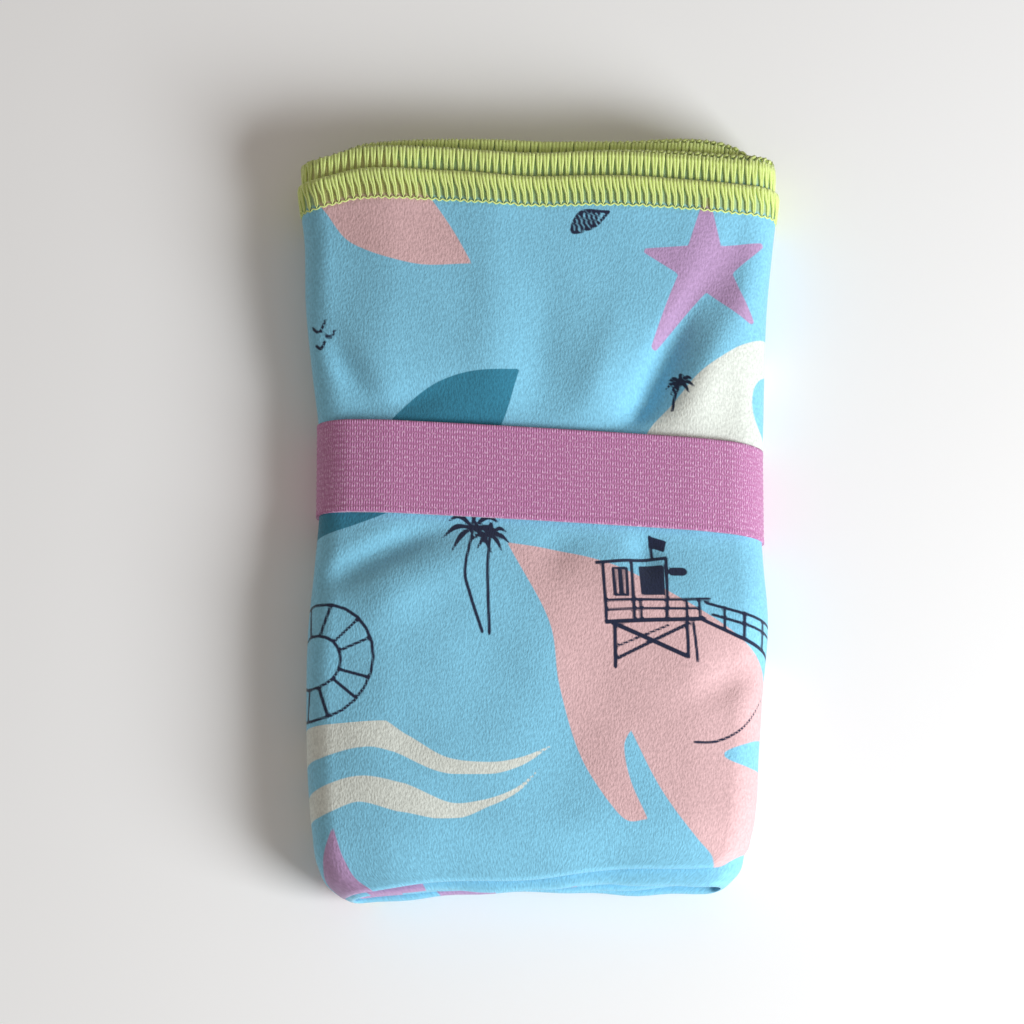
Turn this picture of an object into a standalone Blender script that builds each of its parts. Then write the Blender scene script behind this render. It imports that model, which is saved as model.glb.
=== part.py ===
"""Quick-dry travel towel in its travel pack, held by a knitted elastic loop.

The towel is folded in half along its length, so that both long edges meet at the top
of the pack, and is then rolled flat into eight leaves. The pack lies on its back:
+X runs across it, +Y along it towards the open overlocked edges, +Z up through its
thickness. The elastic loop goes round the middle and slides along Y.
"""

import math

import bmesh
import bpy
from mathutils import Vector
from mathutils.geometry import tessellate_polygon

MM = 0.001

# Towel cloth. A leaf is two plies thick: the towel is folded in half.
LEAF_PITCH = 1.9 * MM
LEAF_COUNT = 8
FOLD_STEPS = 6
PLY_FACE_IN = 0.05 * MM       # from a leaf's middle to a ply's hidden face
PLY_FACE_OUT = 0.85 * MM      # from a leaf's middle to a ply's outer face
EDGE_FACE_IN = 0.30 * MM      # the same two distances where thread presses the edge
EDGE_FACE_OUT = 0.60 * MM
PACK_BACK = 3.0 * MM          # height of the pack's back above the rest plane
PACK_RIGHT = 58.5 * MM
PACK_LEFT = -57.8 * MM
PACK_HALF_LENGTH = 100.0 * MM
BACK_EDGE_AHEAD = 7.0 * MM    # how far the under ply's long edge passes the front one
INNER_END_INSET = 1.0 * MM
OUTER_END_X = -52.5 * MM

# Overlock: three thread runs along every cut edge of the cloth.
OVERLOCK_WIDTH = 8.0 * MM
LOOPER_WIDTH = 6.8 * MM
NEEDLE_RUN = (7.1 * MM, 7.9 * MM)
THREAD_FACE_IN = 0.65 * MM
THREAD_FACE_OUT = 0.85 * MM
UNDER_THREAD_FACE = 0.25 * MM
EDGE_WRAP = 0.35 * MM         # thread standing past the cut edge
THREAD_GAP = 0.05 * MM
CORNER_GAP = 8.3 * MM         # short-edge threads stop this far from a long edge

# Elastic loop
BAND_CENTRE_Y = 9.2 * MM
BAND_WIDTH = 25.0 * MM
BAND_THICKNESS = 1.3 * MM
BAND_SLOPE = 0.06             # the loop sits this much askew, as a fraction of X
BAND_ARC_X = 50.85 * MM
BAND_TOP = 19.7 * MM
BAND_ARC_STEPS = 12
LAP_HALF = 8.0 * MM
LAP_DROP = 5.0 * MM
LAP_GAP = 0.1 * MM
STRAND_COUNT = 8
STRAND_PITCH = 2.8 * MM
STRAND_HALF = 0.22 * MM
CHANNEL_HALF = 0.32 * MM
STITCH_ROW_X = 5.0 * MM
STITCH_HALF = 0.25 * MM
STITCH_HOLE_HALF = 0.30 * MM
STITCH_FOOT = 0.25 * MM       # lowest point of the stitch thread


def material(name, rgb, roughness):
    """One plain Principled material."""
    finish = bpy.data.materials.new(name)
    finish.use_nodes = True
    shader = finish.node_tree.nodes["Principled BSDF"]
    shader.inputs["Base Color"].default_value = (*rgb, 1.0)
    shader.inputs["Roughness"].default_value = roughness
    shader.inputs["Metallic"].default_value = 0.0
    return finish


def add_piece(name, mesh_builder, finish, parent=None):
    """Turn a filled bmesh into a named object with faces pointing out."""
    bmesh.ops.recalc_face_normals(mesh_builder, faces=mesh_builder.faces)
    mesh = bpy.data.meshes.new(name)
    mesh_builder.to_mesh(mesh)
    mesh_builder.free()
    mesh.shade_smooth()
    mesh.set_sharp_from_angle(angle=math.radians(35.0))
    mesh.materials.append(finish)
    piece = bpy.data.objects.new(name, mesh)
    bpy.context.scene.collection.objects.link(piece)
    piece.parent = parent
    return piece


def sweep(path, sections, slope=0.0):
    """Carry a section along a path in the X-Z plane and cap both ends.

    path holds (x, z, normal x, normal z); each section is a list of closed loops of
    (distance along the normal, y), the first loop outside and the rest channels.
    The slope shears the solid in Y by its X, so it stays a prism along Y.
    """
    solid = bmesh.new()
    rings = []
    for (x, z, normal_x, normal_z), loops in zip(path, sections):
        ring = []
        for loop in loops:
            row = []
            for offset, y in loop:
                place_x = x + offset * normal_x
                place = (place_x, y - slope * place_x, z + offset * normal_z)
                row.append(solid.verts.new(place))
            ring.append(row)
        rings.append(ring)
    for ring, following in zip(rings, rings[1:]):
        for row, next_row in zip(ring, following):
            for k in range(len(row)):
                after = (k + 1) % len(row)
                solid.faces.new((row[k], row[after], next_row[after], next_row[k]))
    for ring, loops in ((rings[0], sections[0]), (rings[-1], sections[-1])):
        corners = [vert for row in ring for vert in row]
        outline = [[Vector((offset, y, 0.0)) for offset, y in loop] for loop in loops]
        for triangle in tessellate_polygon(outline):
            solid.faces.new([corners[k] for k in triangle])
    return solid


def leaf_path():
    """Middle line of the rolled towel, from its inner short edge to its outer one.

    Each fold is a half circle. Right folds share one centre and left folds another,
    half a leaf higher, and each next fold is half a leaf pitch larger in radius.
    """
    right_reach = (LEAF_COUNT - 1) / 2 * LEAF_PITCH + PLY_FACE_OUT
    left_reach = (LEAF_COUNT - 2) / 2 * LEAF_PITCH + PLY_FACE_OUT
    right_x = PACK_RIGHT - right_reach
    left_x = PACK_LEFT + left_reach
    right_z = PACK_BACK + LEAF_COUNT / 2 * LEAF_PITCH
    left_z = right_z + LEAF_PITCH / 2
    path = [(left_x + INNER_END_INSET, left_z, 0.0, 1.0)]
    for fold in range(LEAF_COUNT - 1):
        side = 1.0 if fold % 2 == 0 else -1.0
        centre_x, centre_z = (right_x, right_z) if side > 0 else (left_x, left_z)
        radius = (fold + 1) / 2 * LEAF_PITCH
        for step in range(FOLD_STEPS + 1):
            turn = math.pi * step / FOLD_STEPS
            normal_x = side * math.sin(turn)
            normal_z = side * math.cos(turn)
            path.append((centre_x + radius * normal_x, centre_z + radius * normal_z,
                         normal_x, normal_z))
    path.append((OUTER_END_X, PACK_BACK + LEAF_PITCH / 2, 0.0, -1.0))
    return path


def moved_in(station, direction, distance):
    """A station on the same straight leaf, some way in from its end."""
    x, z, normal_x, normal_z = station
    return (x + direction * distance, z, normal_x, normal_z)


BOTTOM_Y = -PACK_HALF_LENGTH
UNDER_EDGE_Y = PACK_HALF_LENGTH - EDGE_WRAP
FRONT_EDGE_Y = UNDER_EDGE_Y - BACK_EDGE_AHEAD


def cloth_section(face_in, face_out):
    """Both plies and the bottom fold that joins them, thinner at the long edges."""
    step = 0.1 * MM
    slot_y = BOTTOM_Y + 0.8 * MM
    bend_y = BOTTOM_Y + 0.5 * MM
    half_bottom = face_out - 0.25 * MM
    bottom_y = BOTTOM_Y + (0.0 if face_out == PLY_FACE_OUT else EDGE_WRAP)
    front = FRONT_EDGE_Y - OVERLOCK_WIDTH
    under = UNDER_EDGE_Y - OVERLOCK_WIDTH
    return [[
        (face_out, bend_y), (face_out, front - step), (EDGE_FACE_OUT, front),
        (EDGE_FACE_OUT, FRONT_EDGE_Y), (EDGE_FACE_IN, FRONT_EDGE_Y),
        (EDGE_FACE_IN, front), (face_in, front - step), (face_in, slot_y),
        (-face_in, slot_y), (-face_in, under - step), (-EDGE_FACE_IN, under),
        (-EDGE_FACE_IN, UNDER_EDGE_Y), (-EDGE_FACE_OUT, UNDER_EDGE_Y),
        (-EDGE_FACE_OUT, under), (-face_out, under - step), (-face_out, bend_y),
        (-half_bottom, bottom_y), (half_bottom, bottom_y),
    ]]


def build_cloth(path, finish):
    """The whole towel as one folded and rolled sheet."""
    thin = cloth_section(EDGE_FACE_IN, EDGE_FACE_OUT)
    full = cloth_section(PLY_FACE_IN, PLY_FACE_OUT)
    first, last = path[0], path[-1]
    ramp = OVERLOCK_WIDTH + THREAD_GAP
    stations = [first, moved_in(first, 1, OVERLOCK_WIDTH), moved_in(first, 1, ramp)]
    stations += path[1:-1]
    stations += [moved_in(last, 1, ramp), moved_in(last, 1, OVERLOCK_WIDTH), last]
    sections = [thin, thin] + [full] * (len(stations) - 4) + [thin, thin]
    add_piece("towel_cloth", sweep(stations, sections), finish)


def build_long_edge_threads(path, finish, label, edge_y, side):
    """Upper looper, lower looper and needle thread along one long edge."""
    top = edge_y + EDGE_WRAP
    low = edge_y - LOOPER_WIDTH
    over = UNDER_THREAD_FACE + THREAD_GAP
    upper = [(THREAD_FACE_IN, low), (THREAD_FACE_OUT, low), (THREAD_FACE_OUT, top),
             (over, top), (over, edge_y + THREAD_GAP), (THREAD_FACE_IN, edge_y + THREAD_GAP)]
    lower = [(PLY_FACE_IN, low), (UNDER_THREAD_FACE, low), (UNDER_THREAD_FACE, top),
             (PLY_FACE_IN, top)]
    near, far = NEEDLE_RUN
    needle = [(THREAD_FACE_IN, edge_y - far), (THREAD_FACE_OUT, edge_y - far),
              (THREAD_FACE_OUT, edge_y - near), (THREAD_FACE_IN, edge_y - near)]
    runs = {"upper_looper": upper, "lower_looper": lower, "needle_thread": needle}
    for run, outline in runs.items():
        section = [[(side * offset, y) for offset, y in outline]]
        name = f"{label}_{run}"
        add_piece(name, sweep(path, [section] * len(path)), finish)


def build_short_edge_threads(end, finish, label):
    """The same three threads along a short edge: down the front ply, up the under ply."""
    front = FRONT_EDGE_Y - CORNER_GAP
    under = UNDER_EDGE_Y - CORNER_GAP
    wrap_y = BOTTOM_Y + EDGE_WRAP - THREAD_GAP
    low_y = BOTTOM_Y + 0.85 * MM
    outer = [[
        (THREAD_FACE_IN, front), (THREAD_FACE_OUT, front), (THREAD_FACE_OUT, BOTTOM_Y),
        (-THREAD_FACE_OUT, BOTTOM_Y), (-THREAD_FACE_OUT, under),
        (-THREAD_FACE_IN, under), (-THREAD_FACE_IN, wrap_y), (THREAD_FACE_IN, wrap_y),
    ]]
    inner = [[
        (UNDER_THREAD_FACE, front), (PLY_FACE_IN, front), (PLY_FACE_IN, low_y + EDGE_WRAP),
        (-PLY_FACE_IN, low_y + EDGE_WRAP), (-PLY_FACE_IN, under),
        (-UNDER_THREAD_FACE, under), (-UNDER_THREAD_FACE, low_y), (UNDER_THREAD_FACE, low_y),
    ]]
    runs = {
        "upper_looper": (outer, 0.0, LOOPER_WIDTH),
        "lower_looper": (inner, 0.0, LOOPER_WIDTH),
        "needle_thread": (outer, *NEEDLE_RUN),
    }
    for run, (section, near, far) in runs.items():
        stations = [moved_in(end, 1, near), moved_in(end, 1, far)]
        add_piece(f"{label}_{run}", sweep(stations, [section] * 2), finish)


def band_path():
    """Middle line of the elastic, from the inner cut end of its lap to the outer one."""
    floor_z = BAND_THICKNESS / 2
    lap_z = floor_z + BAND_THICKNESS + LAP_GAP
    radius = (BAND_TOP - BAND_THICKNESS) / 2
    centre_z = BAND_TOP / 2
    path = [(LAP_HALF, lap_z, 0.0, -1.0), (-LAP_HALF - 0.5 * MM, lap_z, 0.0, -1.0)]
    path.append((-LAP_HALF - LAP_DROP, floor_z, 0.0, -1.0))
    for side in (-1.0, 1.0):
        for step in range(BAND_ARC_STEPS + 1):
            turn = math.pi * step / BAND_ARC_STEPS
            normal_x = side * math.sin(turn)
            normal_z = side * math.cos(turn)
            path.append((side * BAND_ARC_X + radius * normal_x,
                         centre_z + radius * normal_z, normal_x, normal_z))
    path.append((-LAP_HALF, floor_z, 0.0, -1.0))
    return path


def strand_rows():
    """Y of each rubber strand, measured from the middle of the elastic."""
    middle = (STRAND_COUNT - 1) / 2
    return [(k - middle) * STRAND_PITCH for k in range(STRAND_COUNT)]


def square(half, y):
    """Square section loop, as rubber thread is cut."""
    return [(-half, y - half), (half, y - half), (half, y + half), (-half, y + half)]


def add_box(solid, low, high):
    """One closed box in the given bmesh."""
    corners = [solid.verts.new((x, y, z)) for x in (low[0], high[0])
               for y in (low[1], high[1]) for z in (low[2], high[2])]
    for face in ((0, 1, 3, 2), (4, 6, 7, 5), (0, 4, 5, 1), (2, 3, 7, 6), (0, 2, 6, 4),
                 (1, 5, 7, 3)):
        solid.faces.new([corners[k] for k in face])


def stitch_rows():
    """Y of the stitch holes, between the strands."""
    rows = strand_rows()
    return [(low + high) / 2 for low, high in zip(rows, rows[1:])]


def build_cover(path, finish, parent):
    """Knitted cover with a channel for each strand and holes for the lap stitches."""
    half = BAND_THICKNESS / 2
    width = BAND_WIDTH / 2
    outline = [(-half, -width), (half, -width), (half, width), (-half, width)]
    loops = [outline] + [square(CHANNEL_HALF, y) for y in strand_rows()]
    cover = add_piece("elastic_cover", sweep(path, [loops] * len(path), BAND_SLOPE),
                      finish, parent)
    holes = bmesh.new()
    lap_top = 2 * BAND_THICKNESS + LAP_GAP
    for x in (-STITCH_ROW_X, STITCH_ROW_X):
        for y in stitch_rows():
            middle = y - BAND_SLOPE * x
            low = (x - STITCH_HOLE_HALF, middle - STITCH_HOLE_HALF, -1.0 * MM)
            high = (x + STITCH_HOLE_HALF, middle + STITCH_HOLE_HALF, lap_top + 1.0 * MM)
            add_box(holes, low, high)
    cutter = add_piece("stitch_hole_cutter", holes, finish, parent)
    cutter.hide_render = True
    cutter.display_type = "WIRE"
    cut = cover.modifiers.new("stitch_holes", "BOOLEAN")
    cut.operation = "DIFFERENCE"
    cut.solver = "EXACT"
    cut.object = cutter


def build_strands(path, finish, parent):
    """Square-cut rubber strands, one in each channel."""
    for number, y in enumerate(strand_rows(), start=1):
        section = [square(STRAND_HALF, y)]
        solid = sweep(path, [section] * len(path), BAND_SLOPE)
        add_piece(f"rubber_strand_{number}", solid, finish, parent)


def build_stitch_row(number, x, finish, parent):
    """One row of lap stitches: a thread run on top with legs down through both layers."""
    lap_top = 2 * BAND_THICKNESS + LAP_GAP
    run_low = lap_top + THREAD_GAP
    run_high = run_low + 0.2 * MM
    outline = []
    rows = stitch_rows()
    outline.append((rows[0] - STITCH_HALF, run_high))
    for k, y in enumerate(rows):
        outline.append((y - STITCH_HALF, STITCH_FOOT))
        outline.append((y + STITCH_HALF, STITCH_FOOT))
        if k < len(rows) - 1:
            outline.append((y + STITCH_HALF, run_low))
            outline.append((rows[k + 1] - STITCH_HALF, run_low))
    outline.append((rows[-1] + STITCH_HALF, run_high))
    solid = bmesh.new()
    flat = [[Vector((y, z, 0.0)) for y, z in outline]]
    sides = []
    for place_x in (x - STITCH_HALF, x + STITCH_HALF):
        row = [solid.verts.new((place_x, y - BAND_SLOPE * x, z)) for y, z in outline]
        for triangle in tessellate_polygon(flat):
            solid.faces.new([row[k] for k in triangle])
        sides.append(row)
    for k in range(len(outline)):
        after = (k + 1) % len(outline)
        solid.faces.new((sides[0][k], sides[0][after], sides[1][after], sides[1][k]))
    add_piece(f"lap_stitch_row_{number}", solid, finish, parent)


for old in list(bpy.data.objects):
    bpy.data.objects.remove(old, do_unlink=True)

microfibre = material("printed_microfibre", (0.26, 0.60, 0.80), 0.9)
overlock_thread = material("green_overlock_thread", (0.55, 0.72, 0.12), 0.8)
knit_cover = material("pink_knitted_cover", (0.56, 0.23, 0.45), 0.85)
latex = material("latex_strand", (0.60, 0.48, 0.30), 0.65)
stitch_thread = material("pink_stitch_thread", (0.68, 0.32, 0.58), 0.8)

towel_path = leaf_path()
build_cloth(towel_path, microfibre)
build_long_edge_threads(towel_path, overlock_thread, "front_long_edge", FRONT_EDGE_Y, 1.0)
build_long_edge_threads(towel_path, overlock_thread, "under_long_edge", UNDER_EDGE_Y, -1.0)
build_short_edge_threads(towel_path[0], overlock_thread, "inner_short_edge")
build_short_edge_threads(towel_path[-1], overlock_thread, "outer_short_edge")

band_axis = bpy.data.objects.new("band_slide_axis", None)
band_axis.location = (0.0, BAND_CENTRE_Y, 0.0)
bpy.context.scene.collection.objects.link(band_axis)
elastic_path = band_path()
build_cover(elastic_path, knit_cover, band_axis)
build_strands(elastic_path, latex, band_axis)
build_stitch_row(1, -STITCH_ROW_X, stitch_thread, band_axis)
build_stitch_row(2, STITCH_ROW_X, stitch_thread, band_axis)
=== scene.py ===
"""Quick-dry travel towel, folded and rolled flat in its elastic loop: the looks."""

import bpy
import numpy as np
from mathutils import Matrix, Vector


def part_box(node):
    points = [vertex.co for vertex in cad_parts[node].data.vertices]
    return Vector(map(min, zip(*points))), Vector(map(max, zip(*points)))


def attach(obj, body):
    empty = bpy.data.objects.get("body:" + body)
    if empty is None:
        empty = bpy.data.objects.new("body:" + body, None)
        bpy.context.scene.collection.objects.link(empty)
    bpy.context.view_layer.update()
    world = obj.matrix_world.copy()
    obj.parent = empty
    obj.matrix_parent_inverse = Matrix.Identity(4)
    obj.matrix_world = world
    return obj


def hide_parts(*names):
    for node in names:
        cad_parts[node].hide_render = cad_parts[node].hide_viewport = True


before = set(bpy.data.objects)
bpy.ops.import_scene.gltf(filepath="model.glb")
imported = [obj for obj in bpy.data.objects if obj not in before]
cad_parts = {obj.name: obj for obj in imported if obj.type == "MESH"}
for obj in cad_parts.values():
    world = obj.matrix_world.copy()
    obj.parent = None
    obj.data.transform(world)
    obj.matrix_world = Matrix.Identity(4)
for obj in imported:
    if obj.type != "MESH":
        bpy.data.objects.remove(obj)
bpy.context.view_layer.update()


# --- Towel cloth -----------------------------------------------------------------------
# One sheet of suede microfibre, a knitted polyester and polyamide cloth with a short
# raised nap, printed on both sides. It is folded in half along its length, both long
# edges up, and then rolled flat into eight leaves. All lengths here are millimetres.

MM = 0.001
LEAF_PITCH = 1.9
LEAVES = 8
PLY_FACE = 0.85              # from a leaf's middle to the outer face of a ply
PLY_INSIDE = 0.08            # and to its hidden face
EDGE_FACE = 0.62             # the same two where the overlock squeezes the edge
EDGE_INSIDE = 0.25
OVERLOCK_DEPTH = 8.0
FRONT_LAG = 7.0              # the front ply's edge stops this far short of the under one

cloth_low, cloth_high = (np.array(corner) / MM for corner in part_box("towel_cloth"))
BOTTOM_Y = cloth_low[1]
UNDER_EDGE_Y = cloth_high[1]
FRONT_EDGE_Y = UNDER_EDGE_Y - FRONT_LAG
RIGHT_FOLD_X = cloth_high[0] - (LEAVES - 1) / 2 * LEAF_PITCH - PLY_FACE
LEFT_FOLD_X = cloth_low[0] + (LEAVES - 2) / 2 * LEAF_PITCH + PLY_FACE
BACK_Z = cloth_low[2] - (LEAF_PITCH / 2 - PLY_FACE)
PACK_THICKNESS = cloth_high[2] - cloth_low[2]
OUTER_END_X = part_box("outer_short_edge_upper_looper")[0][0] / MM
INNER_END_INSET = 1.0
INNER_END_X = LEFT_FOLD_X + INNER_END_INSET

band_low, band_high = (np.array(corner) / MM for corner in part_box("elastic_cover"))
BAND_SLOPE = 0.06
BAND_WIDTH = 25.0
BAND_MIDDLE_Y = (band_low[1] + band_high[1]) / 2
BAND_CROWN = 1.6             # how far the full pack bows the elastic up in the middle
REST_GAP = 0.6               # the overlock holds the cloth this far off what it lies on
SHOULDER_DROP = 2.4          # how far the pack's front falls towards its long sides
SHOULDER_START = 38.0        # the half widths between which it falls
SHOULDER_END = 60.0


def roll_stretches():
    """The roll as straight leaves and half-circle folds, from the inner short edge out.

    Rows are (length, kind, x, z, turn): a leaf's start and heading, or a fold's centre
    and side. Each next fold is half a leaf pitch larger in radius.
    """
    right_z = BACK_Z + LEAVES / 2 * LEAF_PITCH
    left_z = right_z + LEAF_PITCH / 2
    rows = []
    start = INNER_END_X
    for leaf in range(LEAVES):
        heading = 1.0 if leaf % 2 == 0 else -1.0
        radius = (leaf + 1) / 2 * LEAF_PITCH
        centre_z = right_z if heading > 0 else left_z
        level = centre_z + heading * radius
        if leaf == LEAVES - 1:
            rows.append((start - OUTER_END_X, 0, start, right_z - leaf / 2 * LEAF_PITCH, -1.0))
            break
        stop = RIGHT_FOLD_X if heading > 0 else LEFT_FOLD_X
        rows.append((abs(stop - start), 0, start, level, heading))
        rows.append((np.pi * radius, 1, stop, centre_z, heading))
        start = stop
    return np.array(rows)


STRETCHES = roll_stretches()
STRETCH_START = np.concatenate([[0.0], np.cumsum(STRETCHES[:, 0])])
TOWEL_LENGTH = STRETCH_START[-1]
FRONT_LEAF_START = STRETCH_START[12]      # where the seventh, visible leaf begins
FRONT_MIDDLE = FRONT_LEAF_START - LEFT_FOLD_X


def roll(along):
    """Middle line of the roll at a distance along the towel: (x, z, normal x, normal z).

    On a leaf the point runs straight; on a fold it is the centre plus the radius times
    (sine, cosine) of distance over radius.
    """
    k = np.clip(np.searchsorted(STRETCH_START, along, "right") - 1, 0, len(STRETCHES) - 1)
    length, kind, x0, z0, turn = np.moveaxis(STRETCHES[k], -1, 0)
    local = along - STRETCH_START[k]
    radius = np.where(kind > 0, length / np.pi, 1.0)
    angle = np.where(kind > 0, local / radius, 0.0)
    normal_x = np.where(kind > 0, turn * np.sin(angle), 0.0)
    normal_z = turn * np.cos(angle)
    x = np.where(kind > 0, x0 + radius * normal_x, x0 + turn * local)
    z = np.where(kind > 0, z0 + radius * normal_z, z0)
    return x, z, normal_x, normal_z


def smooth_curve(value, knots, heights):
    """Smooth curve through a few (knot, height) points: cubic between knots."""
    knots = np.asarray(knots, float)
    heights = np.asarray(heights, float)
    slopes = np.gradient(heights, knots)
    value = np.clip(value, knots[0], knots[-1])
    k = np.clip(np.searchsorted(knots, value, "right") - 1, 0, len(knots) - 2)
    span = knots[k + 1] - knots[k]
    t = (value - knots[k]) / span
    return (heights[k] * (1 + 2 * t) * (1 - t) ** 2 + slopes[k] * span * t * (1 - t) ** 2
            + heights[k + 1] * t * t * (3 - 2 * t) + slopes[k + 1] * span * t * t * (t - 1))


def smooth_step(value, low, high):
    """0 below low, 1 above high, an S between."""
    t = np.clip((value - low) / (high - low), 0.0, 1.0)
    return t * t * (3 - 2 * t)


# Half outlines of the settled pack: Y along it, then how far each side reaches.
OUTLINE_Y = (-100.0, -97.0, -92.0, -83.0, -70.0, -52.0, -30.0, -12.0, 6.0, 24.0, 40.0,
             60.0, 78.0, 90.0, 100.0)
LEFT_REACH = (51.0, 55.0, 57.8, 59.5, 60.7, 61.3, 61.0, 59.4, 58.2, 58.6, 60.5, 62.5,
              63.0, 64.4, 64.6)
RIGHT_REACH = (49.5, 53.2, 55.0, 56.4, 57.1, 58.3, 60.0, 58.9, 58.2, 59.3, 59.8, 60.7,
               62.5, 63.8, 64.0)

# Creases and swells of the upper leaves: middle x and y, direction in degrees, half
# length, half width, height. The elastic pulls most of them out from its edges.
FOLDS_IN_CLOTH = (
    (28.0, 32.0, 63.0, 25.0, 3.4, -3.8),
    (31.0, 32.0, 63.0, 21.0, 6.0, -2.6),
    (15.0, 34.0, 72.0, 17.0, 5.5, 1.2),
    (46.0, 40.0, 66.0, 22.0, 6.5, 2.7),
    (-13.0, 56.0, 88.0, 24.0, 6.5, 1.1),
    (0.0, 43.0, 85.0, 24.0, 6.5, -1.4),
    (-51.0, 39.0, -56.0, 14.0, 4.2, -2.6),
    (-36.0, 28.0, 18.0, 11.0, 4.5, -1.6),
    (50.0, 66.0, 62.0, 16.0, 5.5, -1.2),
    (-42.0, -12.0, 29.0, 18.0, 4.0, -2.7),
    (-32.0, -20.0, 34.0, 18.0, 6.5, 1.5),
    (27.0, -9.0, 96.0, 9.0, 4.0, -2.6),
    (4.0, -9.0, 80.0, 9.0, 5.5, -0.9),
    (52.0, -45.0, 30.0, 13.0, 4.5, -1.6),
    (54.0, -28.0, 60.0, 13.0, 7.0, 0.9),
    (12.0, -62.0, 75.0, 26.0, 9.0, -0.7),
    (-30.0, -72.0, 20.0, 20.0, 10.0, 0.6),
)


def wrinkle(x, y):
    """Sum of the cloth's creases and swells, each a bell across and a bell along."""
    height = 0.22 * np.sin(x / 5.3 + 1.1) * np.sin(y / 8.1 + 0.4)
    height += 0.16 * np.sin(x / 3.4 + y / 9.7) * np.cos(y / 5.9 + 0.8)
    for middle_x, middle_y, direction, half_length, half_width, rise in FOLDS_IN_CLOTH:
        turn = np.radians(direction)
        along = (x - middle_x) * np.cos(turn) + (y - middle_y) * np.sin(turn)
        across = (y - middle_y) * np.cos(turn) - (x - middle_x) * np.sin(turn)
        height += rise * np.exp(-(across / half_width) ** 2 - (along / half_length) ** 2)
    return height


def shoulder(x):
    """How far the pack's front falls away towards its long sides."""
    return SHOULDER_DROP * smooth_step(np.abs(x), SHOULDER_START, SHOULDER_END)


# How the leaves slip past each other at the two ends of the pack.
HEIGHT_SHARE = 0.985         # the pack's height as it lies, as a share of its flat one
BOTTOM_LIFT = 0.5            # the bottom edge stands higher by this
BOTTOM_SLANT = 0.072         # and runs up to the right by this much a millimetre
TOP_SLANT = 0.02             # the top edge runs down to the right
INNER_RISE = 3.3             # inner wraps stand out of the open end by this in the middle
INNER_RISE_SLANT = 0.04      # and by more to the right
INNER_RISE_HALF = 56.0       # where across that has faded out, past which they sink
UNDER_PLY_SLANT = 0.035      # the under ply's edge runs up to the right
MIDDLE_DROOP = 1.3           # the open end hangs back right of the middle
CORNER_DROOP = 2.4           # and at the left corner
INNER_SLIP = 2.8             # inner wraps stand out of the folded end by this
INNER_SLIP_SLANT = 0.035
BACK_LEAF_LIFT = 2.2         # the back leaf stops short of the folded end by this

# How thick the pack is away from the elastic, which squeezes it.
PUFF = 3.2                   # the front rises by this, far from the elastic
PUFF_REACH = 13.0            # and is nearly two thirds of the way up this far from it
CREASE_REACH = 5.0           # the same for the creases
FLATTENED = 0.1              # which have this share of their height under it
BOTTOM_THINNING = 2.4        # the front falls by up to this at the folded end
TOP_LIFT = 1.2               # and the thick overlocked edges rise by up to this
INNER_SQUEEZE = 0.035        # inner wraps lie this share flatter than the outer ones


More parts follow.
